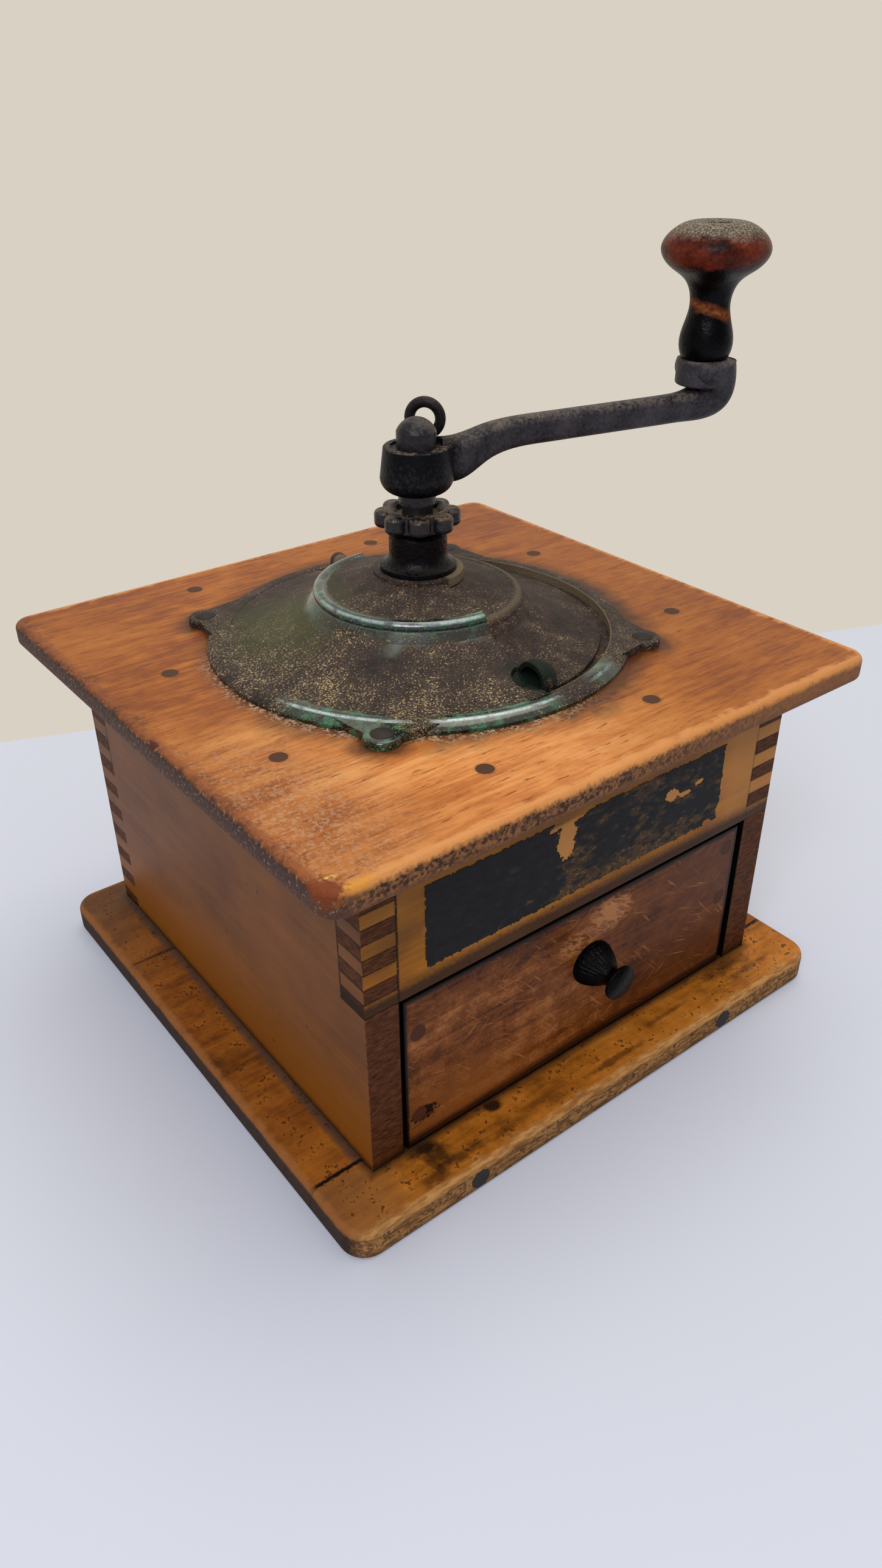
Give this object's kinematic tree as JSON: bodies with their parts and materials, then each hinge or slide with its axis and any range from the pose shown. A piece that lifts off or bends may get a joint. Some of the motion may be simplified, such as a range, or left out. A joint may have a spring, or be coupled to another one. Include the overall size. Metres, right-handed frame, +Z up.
{
  "type": "hand crank coffee grinder",
  "caption": "Wooden box coffee mill with a drawer, domed iron cover with a turning half, lobed adjusting nut and a hand crank with a wooden knob.",
  "frame": {"origin": "on the base board's underside, straight below the spindle", "axes": "+Z up along the spindle, -Y towards the drawer front, +X to the right seen from the front"},
  "size_m": [0.1862, 0.167, 0.207],
  "materials": {
    "base_wood": "worn varnish over softwood, stained dark along the box",
    "box_wood": "worn brown varnish",
    "top_wood": "honey varnish worn thin, dark at the edges",
    "drawer_wood": "reddish brown varnish, scratched",
    "knob_wood": "black paint worn through to red-brown wood",
    "cover_iron": "dusty brown iron with remains of green enamel",
    "crank_iron": "black iron, dusty",
    "burr_iron": "bare cast iron",
    "steel": "dark steel"
  },
  "bodies": {
    "box": {"base_board": "base_wood", "base_front_strip": "base_wood", "strip_nails": "steel", "base_screws": "steel", "left_side": "box_wood", "right_side": "box_wood", "front_rail": "box_wood", "back_panel": "box_wood", "top_board": "top_wood", "top_nails": "steel", "dome_cover": "cover_iron", "dome_screws": "steel", "hopper": "cover_iron", "burr_ring": "burr_iron", "burr_ring_screws": "steel", "spindle_bridge": "burr_iron", "bridge_screws": "steel", "neck_bush": "crank_iron", "neck_nut": "crank_iron"},
    "drawer": {"drawer_front": "drawer_wood", "drawer_left_side": "drawer_wood", "drawer_right_side": "drawer_wood", "drawer_back": "drawer_wood", "drawer_floor": "drawer_wood", "drawer_nails": "steel", "drawer_knob": "crank_iron", "drawer_knob_screw": "steel"},
    "door": {"dome_door": "cover_iron"},
    "nut": {"adjusting_nut": "crank_iron"},
    "washer": {"lift_washer": "crank_iron"},
    "crank": {"crank": "crank_iron", "spindle": "steel", "inner_burr": "burr_iron", "burr_pin": "steel", "acorn_nut": "crank_iron", "eye_screw": "crank_iron", "knob_pin": "steel"},
    "knob": {"crank_knob": "knob_wood"}
  },
  "joints": [
    {"name": "drawer_slide", "type": "slide", "parent": "box", "child": "drawer", "axis": [0, -1, 0], "range_m": [0, 0.105]},
    {"name": "door_turn", "type": "hinge", "parent": "box", "child": "door", "pos_m": [0, 0, 0.124], "axis": [0, 0, 1], "range_deg": [0, 155]},
    {"name": "crank_turn", "type": "hinge", "parent": "box", "child": "nut", "pos_m": [0, 0, 0.141], "axis": [0, 0, 1], "continuous": true},
    {"name": "spindle_lift", "type": "slide", "parent": "nut", "child": "washer", "axis": [0, 0, 1], "range_m": [-0.00075, 0.00075]},
    {"name": "adjust_turn", "type": "hinge", "parent": "washer", "child": "crank", "pos_m": [0, 0, 0.147], "axis": [0, 0, 1], "range_deg": [-180, 180]},
    {"name": "knob_spin", "type": "hinge", "parent": "crank", "child": "knob", "pos_m": [0.08638, -0.01679, 0.186], "axis": [0, 0, 1], "continuous": true}
  ],
  "couplings": [
    {"joint": "adjust_turn", "follows": "spindle_lift", "rad_per_m": 4188.8}
  ]
}
